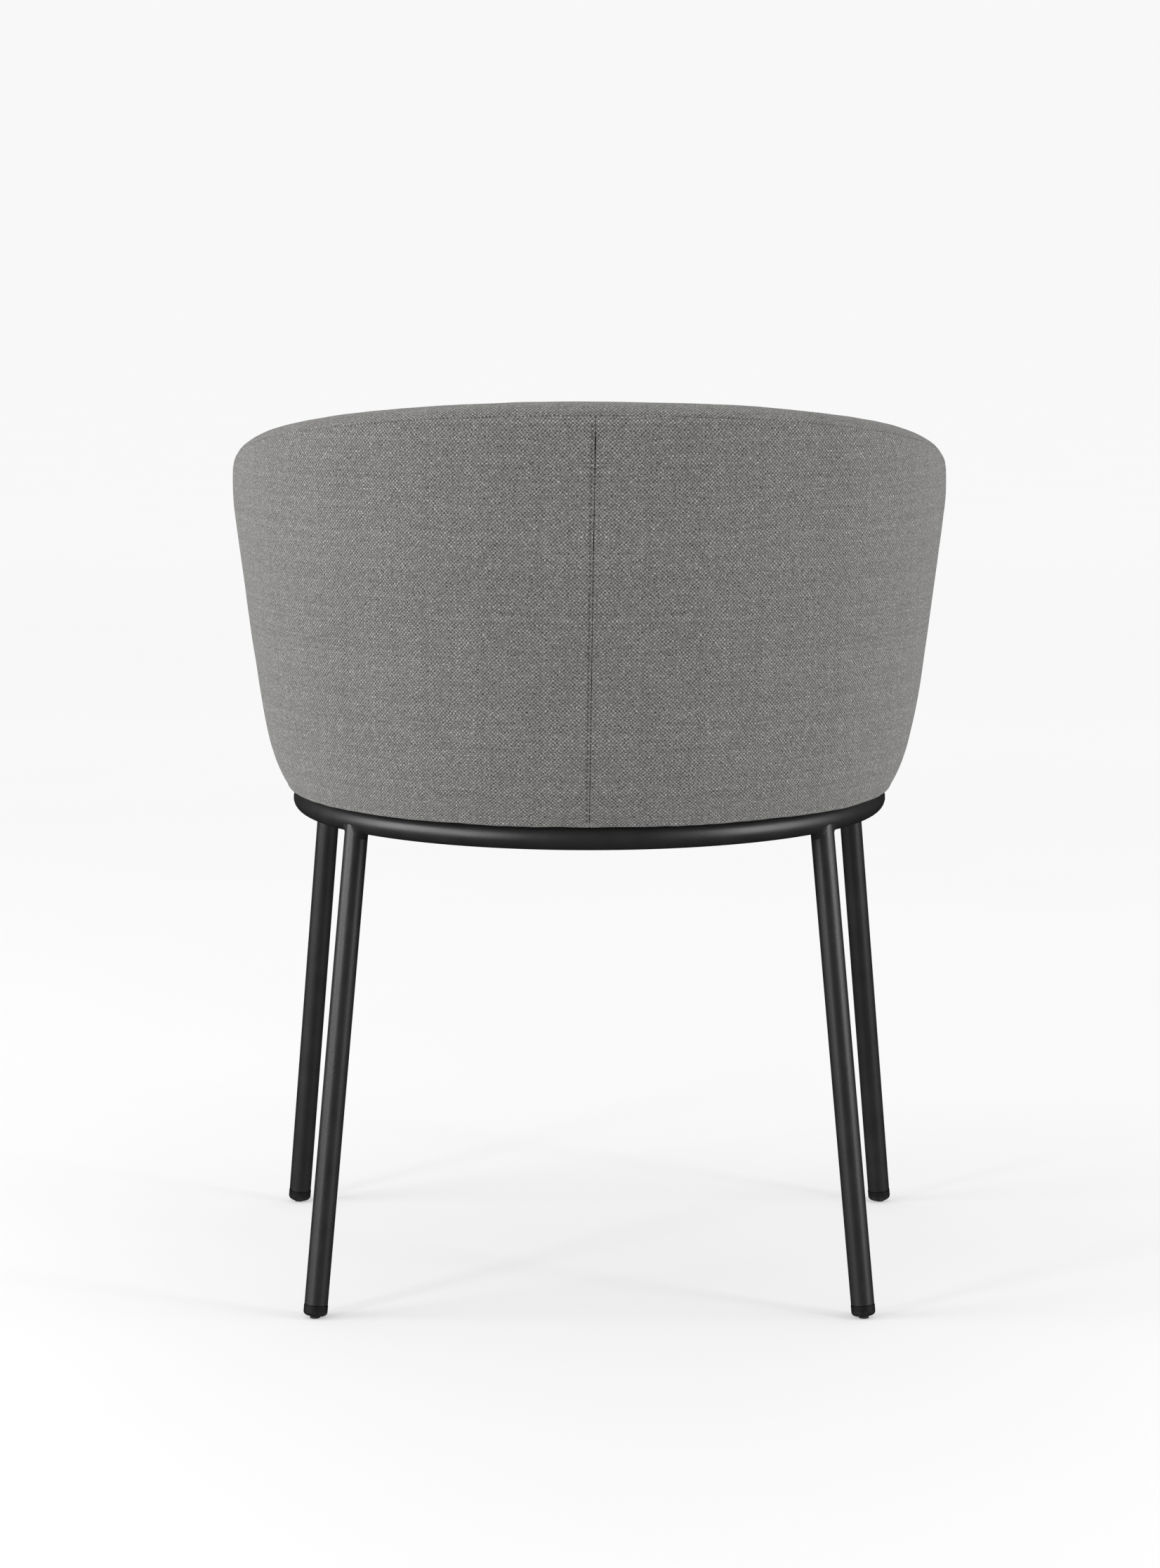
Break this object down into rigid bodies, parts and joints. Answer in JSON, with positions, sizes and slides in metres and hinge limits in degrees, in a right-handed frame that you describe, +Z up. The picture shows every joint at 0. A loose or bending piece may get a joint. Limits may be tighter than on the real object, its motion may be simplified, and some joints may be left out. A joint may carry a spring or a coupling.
{
  "type": "dining chair",
  "caption": "Upholstered tub dining chair: a wrap-round padded back on a D-shaped tube ring with four splayed tube legs.",
  "frame": {"origin": "on the floor, under the middle of the chair's bounding box", "axes": "+Z up; the sitter faces -Y, so the back is on +Y; X runs across the seat and x = 0 is the plane of symmetry"},
  "size_m": [0.5873, 0.5409, 0.741],
  "materials": {
    "powder_coat": "satin black powder coat",
    "foot_plastic": "moulded black plastic",
    "zinc": "bright zinc plate",
    "plywood": "raw plywood",
    "foam": "open-cell foam",
    "fabric": "coarse woven upholstery, grey",
    "piping": "the same cloth over a cord",
    "base_cloth": "black spun-bonded cloth"
  },
  "bodies": {
    "root": {"seat_ring": "powder_coat", "leg_welds": "powder_coat", "mounting_tabs": "powder_coat", "rear_left_leg": "powder_coat", "rear_left_foot": "foot_plastic", "rear_right_leg": "powder_coat", "rear_right_foot": "foot_plastic", "front_left_leg": "powder_coat", "front_left_foot": "foot_plastic", "front_right_leg": "powder_coat", "front_right_foot": "foot_plastic", "flat_washers": "zinc", "spring_washers": "zinc", "mounting_bolts": "zinc", "t_nuts": "zinc", "shell_screws": "zinc", "rail_screws": "zinc", "staples": "zinc", "seat_board": "plywood", "back_shell": "plywood", "front_rail": "plywood", "outer_foam": "foam", "inner_foam": "foam", "front_foam": "foam", "deck_foam": "foam", "seat_foam": "foam", "outer_cover_left": "fabric", "outer_cover_right": "fabric", "inner_cover": "fabric", "front_cover": "fabric", "cushion_top": "fabric", "cushion_boxing": "fabric", "cushion_piping_top": "piping", "cushion_piping_bottom": "piping", "dust_cover": "base_cloth", "cushion_base_cloth": "base_cloth"}
  },
  "joints": []
}
